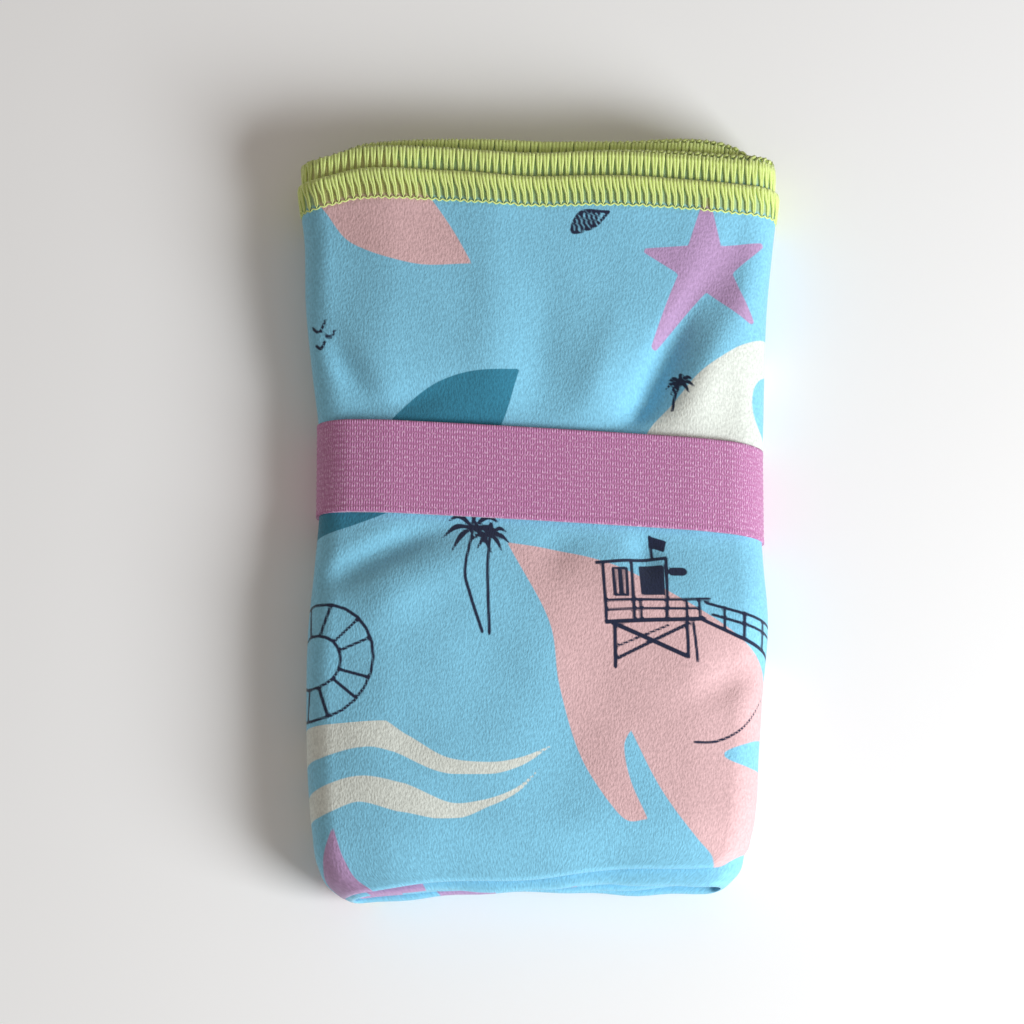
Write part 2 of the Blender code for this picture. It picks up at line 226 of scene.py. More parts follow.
def settle(x, y, z, along, offset):
    """The ideal flat roll as it lies: pinched by the elastic, puffed beside it, slack.

    Width follows the outlines. Thickness is a share of the height between the pack's
    back and its front, which rise away from the elastic as one minus a bell curve.
    """
    front_share = (FRONT_EDGE_Y - y) / (FRONT_EDGE_Y - BOTTOM_Y)
    low_end = np.clip(front_share, 0.0, 1.1) ** 3
    high_end = np.clip(1.0 - front_share, 0.0, 1.1) ** 2
    left = smooth_curve(y, OUTLINE_Y, LEFT_REACH)
    right = smooth_curve(y, OUTLINE_Y, RIGHT_REACH)
    spread = (left + right) / (cloth_high[0] - cloth_low[0])
    new_x = (x - cloth_low[0]) * spread - left
    inner_wrap = 1.0 - smooth_step(along, STRETCH_START[10], STRETCH_START[12])
    back_wrap = smooth_step(along, STRETCH_START[13], STRETCH_START[14])
    share = (z - cloth_low[2]) / PACK_THICKNESS * (1.0 - INNER_SQUEEZE * inner_wrap)

    # Up and down: both ends slant, wave a little, and let the inner wraps stand out.
    new_y = HEIGHT_SHARE * y - TOP_SLANT * new_x * high_end
    new_y += (BOTTOM_LIFT + BOTTOM_SLANT * new_x + BACK_LEAF_LIFT * back_wrap) * low_end
    stand_out = np.clip(1.0 - (new_x / INNER_RISE_HALF) ** 8, -0.4, 1.0)
    rise = (INNER_RISE + INNER_RISE_SLANT * np.clip(new_x, 0.0, None)) * stand_out
    under_ply = np.clip(-offset / 0.5, 0.0, 1.0)
    droop = MIDDLE_DROOP * smooth_step(new_x, -26.0, 4.0)
    droop += CORNER_DROOP * smooth_step(-new_x, 46.0, 62.0)
    new_y += high_end * (rise * inner_wrap + UNDER_PLY_SLANT * new_x * under_ply - droop)
    new_y += high_end * 0.5 * np.sin(new_x / 13.0 + along / 60.0)
    new_y += low_end * 0.6 * np.sin(new_x / 9.0 + along / 41.0)
    slipped = inner_wrap * np.clip(along / STRETCH_START[9], 0.0, 1.0)
    slip = INNER_SLIP + INNER_SLIP_SLANT * new_x + 0.3 * np.sin(new_x / 3.1)
    new_y -= low_end * slipped * slip

    # Through the pack: squeezed under the elastic, puffed and creased away from it.
    clear = np.abs(new_y - BAND_MIDDLE_Y + BAND_SLOPE * new_x) - BAND_WIDTH / 2
    clear = np.clip(clear, 0.0, None)
    puff = 1.0 - np.exp(-(clear / PUFF_REACH) ** 2)
    crown = BAND_CROWN * (1.0 - (new_x / SHOULDER_END) ** 2) - shoulder(new_x)
    back = REST_GAP + (1.0 - puff) * (cloth_low[2] - REST_GAP)
    front = cloth_high[2] + crown + PUFF * puff
    front -= BOTTOM_THINNING * smooth_step(-y, 84.0, 104.0)
    upper = np.clip(share, 0.0, 1.0) ** 1.5
    free = FLATTENED + (1.0 - FLATTENED) * (1.0 - np.exp(-(clear / CREASE_REACH) ** 2))
    new_z = back + share * (front - back) + upper * free * wrinkle(new_x, new_y)
    new_z += TOP_LIFT * high_end * smooth_step(y, 80.0, 100.0) * share
    return new_x, new_y, new_z


def place(along, offset, y):
    """World point, in metres, of a point of the towel: its distance along the roll, its
    offset from the leaf's middle along the outward normal, and its height y."""
    along, offset, y = np.broadcast_arrays(along, offset, y)
    x, z, normal_x, normal_z = roll(along)
    points = settle(x + offset * normal_x, y, z + offset * normal_z, along, offset)
    return np.stack(points, axis=-1) * MM


def steps(stops, spacing):
    """Positions from one stop to the next, evenly spread at most this far apart."""
    rows = [np.linspace(a, b, max(2, int(np.ceil(abs(b - a) / s)) + 1))[:-1]
            for a, b, s in zip(stops, stops[1:], spacing)]
    return np.concatenate(rows + [[stops[-1]]])


def mesh_piece(name, points, quads, ends=(), body="towel", smooth=True):
    """A mesh object from an array of points, an array of quads and extra end faces."""
    mesh = bpy.data.meshes.new(name)
    faces = [tuple(int(k) for k in face) for face in ends]
    mesh.from_pydata(points.reshape(-1, 3).tolist(), [], quads.tolist() + faces)
    rounded = np.arange(len(mesh.polygons)) < len(quads)
    mesh.polygons.foreach_set("use_smooth", rounded & smooth)
    mesh.update()
    piece = bpy.data.objects.new(name, mesh)
    bpy.context.scene.collection.objects.link(piece)
    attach(piece, body)
    return piece


def grid_quads(rows, columns, close_rows=False, close_columns=False):
    """Quads of a grid of points, optionally closed round in either direction."""
    i = np.arange(rows if close_rows else rows - 1)
    j = np.arange(columns if close_columns else columns - 1)
    i, j = np.meshgrid(i, j, indexing="ij")
    after_i, after_j = (i + 1) % rows, (j + 1) % columns
    corners = (i * columns + j, i * columns + after_j, after_i * columns + after_j,
               after_i * columns + j)
    return np.stack(corners, axis=-1).reshape(-1, 4)


SLOT_LIFT = 1.7              # the fold's hidden side stands this far above its bottom
SHARP_ANGLE = 50.0           # edges sharper than this, in degrees, aren't shaded smooth


def leaf_section(front_rows, under_rows, hidden_rows):
    """Closed outline of a leaf, as (offset, y) rows: down the front ply's outer face,
    round the bottom fold, up the under ply, then back down and up the hidden faces."""
    turn = np.linspace(0.0, np.pi, 9)[1:-1]
    bottom = BOTTOM_Y + PLY_FACE
    slot = BOTTOM_Y + SLOT_LIFT
    squeeze_front = smooth_step(front_rows, FRONT_EDGE_Y - OVERLOCK_DEPTH - 1.0,
                                FRONT_EDGE_Y - OVERLOCK_DEPTH + 1.5)
    squeeze_under = smooth_step(under_rows, UNDER_EDGE_Y - OVERLOCK_DEPTH - 1.0,
                                UNDER_EDGE_Y - OVERLOCK_DEPTH + 1.5)
    front = np.stack([PLY_FACE + (EDGE_FACE - PLY_FACE) * squeeze_front, front_rows], 1)
    round_bottom = np.stack([PLY_FACE * np.cos(turn), bottom - PLY_FACE * np.sin(turn)], 1)
    under = np.stack([-PLY_FACE - (EDGE_FACE - PLY_FACE) * squeeze_under, under_rows], 1)
    under_back = np.stack([np.full(len(hidden_rows), -EDGE_INSIDE),
                           UNDER_EDGE_Y - hidden_rows], 1)
    front_back = np.stack([np.full(len(hidden_rows), EDGE_INSIDE),
                           FRONT_EDGE_Y - hidden_rows[::-1]], 1)
    low = np.array([[-PLY_INSIDE, slot + 2.0], [-PLY_INSIDE, slot], [PLY_INSIDE, slot],
                    [PLY_INSIDE, slot + 2.0]])
    outside = np.concatenate([front, round_bottom, under])
    hidden = np.concatenate([under_back, low, front_back])
    return outside, hidden


def end_cap(outside, hidden):
    """Triangles between a section's outer face and its hidden one, zipped side by side
    in the order of the distance travelled along each."""
    hidden = hidden[::-1]
    travel = [np.concatenate([[0.0], np.cumsum(np.hypot(*np.diff(chain, axis=0).T))])
              for chain in (outside, hidden)]
    last_number = len(outside) + len(hidden) - 1
    i = j = 0
    triangles = []
    while i < len(outside) - 1 or j < len(hidden) - 1:
        hidden_done = j == len(hidden) - 1
        if hidden_done or (i < len(outside) - 1 and travel[0][i + 1] <= travel[1][j + 1]):
            triangles.append((last_number - j, i + 1, i))
            i += 1
        else:
            triangles.append((last_number - j, last_number - j - 1, i))
            j += 1
    return triangles


def cloth_sheet(name, along, outside, hidden):
    """A stretch of the rolled towel: its closed section carried along the roll."""
    section = np.concatenate([outside, hidden])
    offset, y = section[:, 0][None, :], section[:, 1][None, :]
    points = place(along[:, None], offset, y)
    columns = len(section)
    last_row = (len(along) - 1) * columns
    cap = end_cap(outside, hidden)
    ends = cap + [(last_row + c, last_row + b, last_row + a) for a, b, c in cap]
    sheet = mesh_piece(name, points, grid_quads(len(along), columns, close_columns=True), ends)
    sheet.data.set_sharp_from_angle(angle=np.radians(SHARP_ANGLE))
    fabric = np.stack(np.broadcast_arrays(along[:, None], y, offset), -1).reshape(-1, 3)
    layer = sheet.data.attributes.new("fabric_mm", "FLOAT_VECTOR", "POINT")
    layer.data.foreach_set("vector", fabric.astype(np.float32).ravel())
    return sheet, fabric


# The outer wrap starts half way along the sixth leaf, where the eighth covers the split,
# and meets the back leaf where the right fold ends, on one shared row of points. Rows of
# points are closer together where the print has fine lines, and on the folds.
SPLIT = (STRETCH_START[10] + STRETCH_START[11]) / 2
SPLIT_GAP = 0.05
BACK_LEAF_START = STRETCH_START[14]
outer_along = steps([SPLIT, STRETCH_START[11], STRETCH_START[12], FRONT_MIDDLE + 58.0,
                     BACK_LEAF_START - 0.2, BACK_LEAF_START], [4.0, 0.6, 0.6, 0.8, 0.2])
back_along = steps([BACK_LEAF_START, TOWEL_LENGTH], [0.6])
front_rows = steps([FRONT_EDGE_Y, FRONT_EDGE_Y - 12.0, 48.0, 26.0, 0.0, -66.0, -98.0,
                    BOTTOM_Y + PLY_FACE], [0.6, 0.9, 0.6, 1.5, 0.6, 0.9, 0.5])
under_rows = steps([BOTTOM_Y + PLY_FACE, -96.0, 88.0, UNDER_EDGE_Y], [0.6, 6.0, 1.0])
hidden_rows = steps([0.0, 9.0, 190.0], [1.5, 5.5])
outer_section = leaf_section(front_rows, under_rows, hidden_rows)
outer_sheet, outer_fabric = cloth_sheet("towel_outer_wrap", outer_along, *outer_section)
back_sheet, back_fabric = cloth_sheet("towel_back_leaf", back_along, *outer_section)

inner_along = steps(
    np.concatenate([STRETCH_START[:11], [SPLIT - SPLIT_GAP]]),
    [3.5 if k % 2 == 0 else 0.35 + 0.13 * k for k in range(11)])
inner_rows = steps([FRONT_EDGE_Y, FRONT_EDGE_Y - 12.0, -92.0, BOTTOM_Y + PLY_FACE],
                   [1.5, 3.0, 1.0])
inner_under = steps([BOTTOM_Y + PLY_FACE, -92.0, 88.0, UNDER_EDGE_Y], [1.0, 4.0, 1.5])
inner_sheet, inner_fabric = cloth_sheet("towel_inner_wraps", inner_along,
                                        *leaf_section(inner_rows, inner_under, hidden_rows))

for sheet in (outer_sheet, back_sheet, inner_sheet):
    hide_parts("towel_cloth")


# --- Print on the cloth ----------------------------------------------------------------
# Sublimation print in flat colours: sea and beach shapes over sky blue, with brush-drawn
# line work in navy over them. Places are millimetres on the front leaf, across and up;
# every other leaf carries the same repeat turned over, so it runs on round each fold.

REPEAT = 61.0                # half the width of the repeat, which is one leaf's
INK_REACH = 2.0              # how far from its edge an ink's distance is kept


def smooth_line(points, per=7):
    """Points on a smooth line through a few points (Catmull-Rom)."""
    points = np.array(points, float)
    padded = np.concatenate([[2 * points[0] - points[1]], points, [2 * points[-1] - points[-2]]])
    t = np.linspace(0.0, 1.0, per, endpoint=False)[:, None]
    parts = []
    for a, b, c, d in zip(padded, padded[1:], padded[2:], padded[3:]):
        parts.append(0.5 * (2 * b + (c - a) * t + (2 * a - 5 * b + 4 * c - d) * t ** 2
                            + (3 * b - a - 3 * c + d) * t ** 3))
    return np.concatenate(parts + [points[-1:]])


def line_distance(u, v, line, widths):
    """Largest of half width minus distance over a line's segments, the half width
    running evenly from the line's start to its end."""
    best = np.full(u.shape, -INK_REACH)
    half = np.interp(np.linspace(0, 1, len(line)), np.linspace(0, 1, len(widths)), widths)
    for (a, b), (start, stop) in zip(zip(line, line[1:]), zip(half, half[1:])):
        step = b - a
        t = ((u - a[0]) * step[0] + (v - a[1]) * step[1]) / max(step @ step, 1e-9)
        t = np.clip(t, 0.0, 1.0)
        gap = np.hypot(u - a[0] - t * step[0], v - a[1] - t * step[1])
        best = np.maximum(best, start + (stop - start) * t - gap)
    return best


def inside(u, v, line):
    """Whether each point is inside a closed line, by counting the sides it crosses."""
    odd = np.zeros(u.shape, bool)
    for (ax, ay), (bx, by) in zip(line, np.roll(line, -1, axis=0)):
        if ay != by:
            crossing = (ay > v) != (by > v)
            odd ^= crossing & (u < (bx - ax) * (v - ay) / (by - ay) + ax)
    return odd


class Ink:
    """One printed colour: the signed distance, in mm, to the edge of its shapes."""

    def __init__(self, u, v):
        self.u, self.v = u, v
        self.depth = np.full(u.shape, -INK_REACH)

    def near(self, line):
        """Indices of the points close enough to a line's box to matter."""
        low, high = line.min(axis=0) - INK_REACH, line.max(axis=0) + INK_REACH
        return np.flatnonzero((self.u > low[0]) & (self.u < high[0])
                              & (self.v > low[1]) & (self.v < high[1]))

    def area(self, *arcs, swell=0.0):
        """Fill a shape bounded by smooth arcs that meet in corners; swelling it outward
        rounds its points."""
        line = np.concatenate([smooth_line(arc)[:-1] for arc in arcs])
        k = self.near(line)
        u, v = self.u[k], self.v[k]
        closed = np.concatenate([line, line[:1]])
        gap = -line_distance(u, v, closed, (0.0, 0.0))
        signed = np.where(inside(u, v, line), gap, -gap) + swell
        self.depth[k] = np.maximum(self.depth[k], signed)

    def stroke(self, points, *widths, smooth=True):
        """Brush line through points, from one half width to the next along it."""
        line = smooth_line(points) if smooth and len(points) > 2 else np.array(points, float)
        k = self.near(line)
        drawn = line_distance(self.u[k], self.v[k], line, widths or (0.42, 0.42))
        self.depth[k] = np.maximum(self.depth[k], drawn)


def draw_colours(u, v):
    """The flat colours: leaf and fish-tail shapes, a star, a dune and two waves.

    The star's points are reach times (cosine, sine) of each arm's angle about its middle,
    with a point between each two arms.
    """
    teal, salmon, lilac, cream = Ink(u, v), Ink(u, v), Ink(u, v), Ink(u, v)
    teal.area([(-4.5, 39), (-20, 37), (-33, 30), (-48, 14), (-66, -7)],
              [(-66, -7), (-53, -5), (-40, -1), (-25, 6), (-12, 20), (-4.5, 39)])
    salmon.area([(-60, 100), (-53, 86), (-46, 73), (-31, 67), (-16, 67.5)],
                [(-16, 67.5), (-20.5, 76), (-27, 87), (-36, 100)], [(-36, 100), (-60, 100)])
    salmon.area([(-8, -9), (4, -11), (22, -17), (42, -29), (54, -39), (64, -53)],
                [(64, -53), (64, -63), (56, -65.5), (49, -69), (56, -73), (64, -74)],
                [(64, -74), (64, -106)], [(64, -106), (57, -103)],
                [(57, -103), (45, -93.5), (34, -80), (25, -62)],
                [(25, -62), (23.5, -67), (25.5, -77), (30, -87)],
                [(30, -87), (23, -86), (13, -70), (6.5, -49), (3, -31), (-8, -9)])
    middle_u, middle_v, waist = 42, 69, 6.1
    arms = ((93, 19.0), (30, 15.0), (-51, 19.2), (-117, 26.4), (-192, 15.0), (-267, 19.0))
    star = []
    for (turn, reach), (following, _) in zip(arms, arms[1:]):
        star += [(turn, reach), ((turn + following) / 2, waist)]
    corners = [(middle_u + reach * np.cos(np.radians(turn)),
                middle_v + reach * np.sin(np.radians(turn))) for turn, reach in star]
    lilac.area(*[[a, b] for a, b in zip(corners, corners[1:] + corners[:1])], swell=0.8)
    lilac.area([(-52, -83), (-50, -94), (-48, -106)], [(-48, -106), (-66, -106)],
               [(-66, -106), (-58, -95), (-52, -83)])
    cream.area([(26, 8), (28, 21.5), (35, 30.2), (41, 37.6), (47, 42.8), (53, 47.4), (58, 49.8),
                (66, 51)], [(66, 51), (66, 42)], [(66, 42), (57, 38), (55, 31), (58, 24), (66, 19)],
               [(66, 19), (66, 8)], [(66, 8), (26, 8)])
    cream.stroke([(-66, -65), (-55, -60.5), (-43, -59), (-34, -63), (-23, -69.6), (-12, -70.8),
                  (-3, -69), (5, -65)], 3.6, 4.9, 4.4, 2.7, 2.1, 1.7, 1.1, 0.1)
    cream.stroke([(-66, -80), (-56, -77), (-45, -74), (-34, -77.5), (-22, -82), (-12, -80),
                  (-4, -76.5), (2, -71)], 2.6, 3.4, 3.3, 3.7, 2.3, 1.0, 0.6, 0.1)
    return teal.depth, salmon.depth, lilac.depth, cream.depth


FROND_TURNS = (-0.9, -0.2, 0.6, 1.5, 2.5, 3.3, 4.0)


def draw_palm(ink, crown, trunk, size):
    """A palm: drooping fronds round its crown, thick to thin, and a bent trunk."""
    for turn in FROND_TURNS:
        side, rise = np.cos(turn) * size, np.sin(turn) * size
        bend = (crown[0] + 0.55 * side, crown[1] + 0.5 * rise + 0.1 * size)
        tip = (crown[0] + side, crown[1] + 0.8 * rise - 0.25 * size)
        ink.stroke([crown, bend, tip], 0.32, 0.06 * size + 0.3, 0.2)
    ink.stroke(trunk, 0.42, 0.42)


def draw_lines(u, v):
    """The navy line work: palms, a beach hut on stilts, a swim ring, birds, a shell."""
    navy = Ink(u, v)
    draw_palm(navy, (-17, -5), [(-17, -6), (-18.6, -17), (-17, -24), (-13.6, -34)], 8.0)
    draw_palm(navy, (-12.5, -7), [(-12.6, -8), (-12.8, -18), (-11.8, -34.5)], 5.0)
    draw_palm(navy, (36.5, 35.6), [(36.3, 35), (35.1, 31.6), (34.4, 27.8)], 3.6)
    for x, y, size in ((-54.6, 50.4, 1.9), (-52.0, 48.3, 1.2), (-54.6, 45.8, 1.3)):
        navy.stroke([(x - size, y + 0.9 * size), (x, y), (x + 0.9 * size, y + 1.4 * size)], 0.4)
    ring_u, ring_v = -56, -40
    ring_radii = (7.0, 15.3)
    angle = np.linspace(0, 2 * np.pi, 25)
    for radius in ring_radii:
        ring = np.stack([ring_u + radius * np.cos(angle), ring_v + radius * np.sin(angle)], 1)
        navy.stroke(ring, 0.4, smooth=False)
    for turn in (0.35, 0.75, 1.3, 1.7, -0.35, -0.75, -1.3, -1.7):
        panel_seam = [(ring_u + r * np.cos(turn), ring_v + r * np.sin(turn)) for r in ring_radii]
        navy.stroke(panel_seam, 0.4)
    # hut: roof, walls, window, door, deck, rails, stilts, braces, ramp, flag
    for a, b, half in (((15, -15.2), (33, -13.6), 0.5), ((16.6, -15.5), (17.4, -31), 0.45),
                       ((33, -14), (32.6, -30.5), 0.45), ((24, -15), (24.4, -31), 0.45),
                       ((19.3, -17), (19.6, -24.5), 0.45), ((22.6, -17), (22.8, -24.5), 0.45),
                       ((21, -17.4), (21.2, -24.2), 0.6), ((19.3, -17), (22.6, -16.8), 0.4),
                       ((19.6, -24.5), (22.8, -24.5), 0.4), ((17.5, -32), (42, -31), 0.6),
                       ((17.8, -26), (43.4, -25.4), 0.42), ((18, -28.6), (41, -28), 0.4),
                       ((26, -26), (26.2, -31.5), 0.4), ((37.5, -25.5), (37.7, -31), 0.4),
                       ((40.8, -25.4), (41, -31), 0.4), ((19.5, -32), (20.4, -44.5), 0.5),
                       ((37.6, -32), (38.6, -42), 0.45), ((39.2, -32), (41, -43), 0.4),
                       ((20.5, -33), (38, -41.5), 0.6), ((21, -42), (38, -32.5), 0.5),
                       ((20, -39), (33, -33), 0.35), ((42.4, -26.5), (62, -32.5), 0.42),
                       ((44, -29.8), (62, -35.6), 0.4), ((42, -31.5), (62, -41.5), 0.5),
                       ((47, -27.6), (47.2, -33.6), 0.4), ((52, -29.2), (52.2, -36.5), 0.4),
                       ((57, -31), (57.2, -38.8), 0.4), ((29.4, -13.8), (28.8, -7.5), 0.4),
                       ((34.5, -17.6), (37, -17.6), 1.2)):
        navy.stroke([a, b], half)
    navy.area([(25.8, -16), (32.4, -15.6)], [(32.4, -15.6), (32.2, -24.4)],
              [(32.2, -24.4), (26.2, -24.6)], [(26.2, -24.6), (25.8, -16)])
    navy.area([(28.9, -7.4), (33.2, -8.8)], [(33.2, -8.8), (32.5, -12)],
              [(32.5, -12), (28.4, -10.2)], [(28.4, -10.2), (28.9, -7.4)])
    navy.stroke([(41.5, -65.5), (47, -65.3), (53, -62), (59, -53)], 0.4, 0.4, 0.2)
    navy.stroke([(17, 83), (10.6, 83), (8.6, 77.4), (14, 78.8), (17.4, 83)], 0.42)
    for share in (0.15, 0.38, 0.61, 0.84):
        navy.stroke([(8.6 + 5.6 * share, 77.6 + 1.6 * share), (10.2 + 6 * share, 83)], 0.38)
    return navy.depth


TURNED_U = 8.0               # sums of a point's old and new places in that half turn
TURNED_V = -36.0
VEIL_DEPTH = 7.0             # how far in from a cut edge the overlock veils the cloth


def print_cloth(sheet, fabric, turned=False):
    """Write each ink's depth at every point of a sheet.

    Across the print is a triangle wave of the distance along the towel, so each repeat
    is its neighbour turned over. turned is for the inner wraps, which another part of
    the print reaches: it is turned half round about a point.
    """
    across = fabric[:, 0] - FRONT_MIDDLE
    across = np.abs((across + REPEAT) % (4 * REPEAT) - 2 * REPEAT) - REPEAT
    u, v = -across, fabric[:, 1]
    if turned:
        u, v = TURNED_U - u, TURNED_V - v
    inks = dict(zip(("teal", "salmon", "lilac", "cream"), draw_colours(u, v)))
    inks["navy"] = draw_lines(u, v)
    edge_y = np.where(fabric[:, 2] > 0, FRONT_EDGE_Y, UNDER_EDGE_Y)
    ends = np.minimum(fabric[:, 0], TOWEL_LENGTH - fabric[:, 0])
    covered = VEIL_DEPTH - np.minimum(edge_y - fabric[:, 1], ends)
    inks["fluff"] = np.clip(covered, -INK_REACH, INK_REACH)
    for name, depth in inks.items():
        layer = sheet.data.attributes.new(f"ink_{name}", "FLOAT", "POINT")
        layer.data.foreach_set("value", depth.astype(np.float32))


print_cloth(outer_sheet, outer_fabric)
print_cloth(back_sheet, back_fabric)
print_cloth(inner_sheet, inner_fabric, turned=True)


def linear(colour):
    """An sRGB hex colour as the linear RGBA that Blender's sockets take."""
    parts = [int(colour[k:k + 2], 16) / 255.0 for k in (1, 3, 5)]
    parts = [c / 12.92 if c <= 0.04045 else ((c + 0.055) / 1.055) ** 2.4 for c in parts]
    return (*parts, 1.0)


def add_node(tree, kind, inputs=(), **settings):
    """Add a node, set its properties, and set or link its inputs."""
    added = tree.nodes.new(kind)
    for name, value in settings.items():
        setattr(added, name, value)
    for socket, value in dict(inputs).items():
        if isinstance(value, bpy.types.NodeSocket):
            tree.links.new(value, added.inputs[socket])
        else:
            added.inputs[socket].default_value = value
    return added


def new_material(name, **shader_values):
    """A Principled material: its tree and shader, with plain values set on its sockets."""
    made = bpy.data.materials.new(name)
    made.use_nodes = True
    shader = made.node_tree.nodes["Principled BSDF"]
    for socket, value in shader_values.items():
        shader.inputs[socket.replace("_", " ")].default_value = value
    return made, made.node_tree, shader


# Suede microfibre: a warp knit of very fine yarn, brushed and sanded to a short nap that
# lies in small pebbles, so it is matt with a soft bloom where it turns from the eye. Its
# fibres are too fine to show, so the grain is drawn as coarse as the pebbles.
GRAIN_ACROSS = 0.48
GRAIN_UP = 0.95
INK_BLUR = 0.14              # how far the dye spreads at a printed edge
microfibre, tree, shader = new_material(
    "suede_microfibre_printed", Roughness=0.92, Specular_IOR_Level=0.25, Sheen_Weight=0.35,
    Sheen_Roughness=0.5)
shader.inputs["Sheen Tint"].default_value = linear("#dff2f8")
fabric_mm = add_node(tree, "ShaderNodeAttribute", attribute_name="fabric_mm").outputs["Vector"]
grain_place = add_node(tree, "ShaderNodeMapping", {
    "Vector": fabric_mm, "Scale": (1 / GRAIN_ACROSS, 1 / GRAIN_UP, 0.3)}).outputs[0]
grain = add_node(tree, "ShaderNodeTexNoise", {
    "Vector": grain_place, "Scale": 1.0, "Detail": 2.5, "Roughness": 0.55}).outputs[0]
colour = linear("#86cbe8")
for ink, paint in (("teal", "#34829e"), ("salmon", "#e0b9bb"), ("lilac", "#bc9ac4"),
                   ("cream", "#dce1d9"), ("navy", "#1e2440")):
    depth = add_node(tree, "ShaderNodeAttribute", attribute_name=f"ink_{ink}").outputs["Fac"]
    soft = add_node(tree, "ShaderNodeMapRange", {
        "Value": depth, "From Min": -INK_BLUR, "From Max": INK_BLUR}).outputs[0]
    colour = add_node(tree, "ShaderNodeMix", {
        0: soft, 6: colour, 7: linear(paint)}, data_type="RGBA").outputs[2]
# Under the overlock the thread's loose filaments veil the print.
depth = add_node(tree, "ShaderNodeAttribute", attribute_name="ink_fluff").outputs["Fac"]
veil = add_node(tree, "ShaderNodeMapRange", {
    "Value": depth, "From Min": -0.3, "From Max": 1.0, "To Max": 0.72}).outputs[0]
colour = add_node(tree, "ShaderNodeMix", {
    0: veil, 6: colour, 7: linear("#b6c468")}, data_type="RGBA").outputs[2]
shade = add_node(tree, "ShaderNodeMapRange", {
    "Value": grain, "From Min": 0.3, "From Max": 0.7, "To Min": 0.84, "To Max": 1.12}).outputs[0]
graded = add_node(tree, "ShaderNodeVectorMath", {0: colour, "Scale": shade}, operation="SCALE")
tree.links.new(graded.outputs[0], shader.inputs["Base Color"])
nap = add_node(tree, "ShaderNodeBump", {
    "Height": grain, "Strength": 0.6, "Distance": 0.35 * MM})
tree.links.new(nap.outputs[0], shader.inputs["Normal"])
for sheet in (outer_sheet, back_sheet, inner_sheet):
    sheet.data.materials.append(microfibre)


# --- Overlock --------------------------------------------------------------------------
# Three-thread overlock in lime green textured polyester on every cut edge: an upper
# looper on the outer face, a lower looper on the inner face, and a needle thread that
# holds both down on a line 7.5 mm in from the edge.

STITCH_PITCH = 1.74
STITCH_DEPTH = 7.4            # how far in from the edge a looper reaches
LOOPER_RADIUS = 0.29          # the textured thread held tight at the needle line
LOOPER_SPREAD = 0.32          # and how much it fluffs out towards the edge
NEEDLE_RADIUS = 0.24
FLUFF_DEPTH = 5.0             # how far in from the edge the fluffing ends
SHORT_EDGE_SHARE = 0.8        # how thick the short edges' threads are next to the long ones'
CORNER_GAP = 0.6              # they stop this far short of the long edges' overlock
SMALL_STEP = 0.05             # the length over which a direction is measured


def tube(path, reference, radius, sides=5):
    """Tube round a path of points, closed round but open at both ends.

    Each ring lies across the local direction of the path. Its first axis is that
    direction crossed with a reference direction that is never parallel to it.
    """
    ahead = np.gradient(path, axis=0)
    ahead /= np.linalg.norm(ahead, axis=1, keepdims=True)
    side = np.cross(ahead, reference)
    side /= np.linalg.norm(side, axis=1, keepdims=True)
    up = np.cross(side, ahead)
    turn = np.linspace(0.0, 2.0 * np.pi, sides, endpoint=False)
    ring = (np.cos(turn)[None, :, None] * side[:, None, :]
            + np.sin(turn)[None, :, None] * up[:, None, :])
    points = path[:, None, :] + ring * np.reshape(radius, (-1, 1, 1))
    quads = grid_quads(len(path), sides, close_columns=True)[:, ::-1]
    return points, quads


def thread_piece(name, path, reference, radius, finish, body="towel", sides=5):
    """One thread run as a tube with both ends capped."""
    points, quads = tube(path, reference, radius, sides)
    last = (len(path) - 1) * sides
    ends = [range(sides), range(last + sides - 1, last - 1, -1)]
    piece = mesh_piece(name, points, quads, ends, body)
    piece.data.materials.append(finish)
    return piece


def stitch_wave(kind):
    """One stitch as (share of the pitch, height off the face, depth in from the edge).

    Loopers run down from the edge, round the needle thread and back up to the edge.
    The needle thread is drawn as one shallow wave along the needle line.
    """
    if kind == "needle":
        return np.array([(0.0, 0.1, 7.75), (0.25, 0.2, 7.55), (0.5, 0.2, 7.2),
                         (0.75, 0.2, 7.55)])
    if kind == "upper":
        lean, foot, spread = -0.48, 0.10, 0.27
    else:
        lean, foot, spread = 0.0, 0.12, 0.25
    leg = []
    for depth, share, height in ((-0.18, 1.0, 0.10), (0.7, 0.95, 0.24), (2.6, 0.6, 0.26),
                                 (4.4, 0.12, 0.26), (6.7, 0.0, 0.22)):
        leg.append((lean * share, foot + (spread - foot) * share, height, depth))
    left = [(shift - half, height, depth) for shift, half, height, depth in leg]
    right = [(shift + half, height, depth) for shift, half, height, depth in leg[::-1]]
    crest = (lean - 0.5, -0.15, -0.30)
    return np.array([crest] + left + [(0.0, 0.24, STITCH_DEPTH)] + right)


def stitch_run(kind, count, detail=True):
    """A whole row of stitches: along in pitches, height, depth, with slight unevenness."""
    wave = stitch_wave(kind)
    if not detail:
        wave = wave[[0, 2, 4, 6, 8, 10]] if kind != "needle" else wave[[0, 2]]
    number = np.arange(count)[:, None]
    sway = 0.05 * np.sin(number * 2.4) + 0.03 * np.sin(number * 5.1 + 1.0)
    along = number + 0.5 + wave[None, :, 0] + sway
    height = wave[None, :, 1] + 0.02 * np.sin(number * 3.3)
    depth = wave[None, :, 2] + 0.10 * np.sin(number * 1.7 + 0.5) * (wave[None, :, 2] > 6.0)
    return along.ravel(), height.ravel(), depth.ravel()


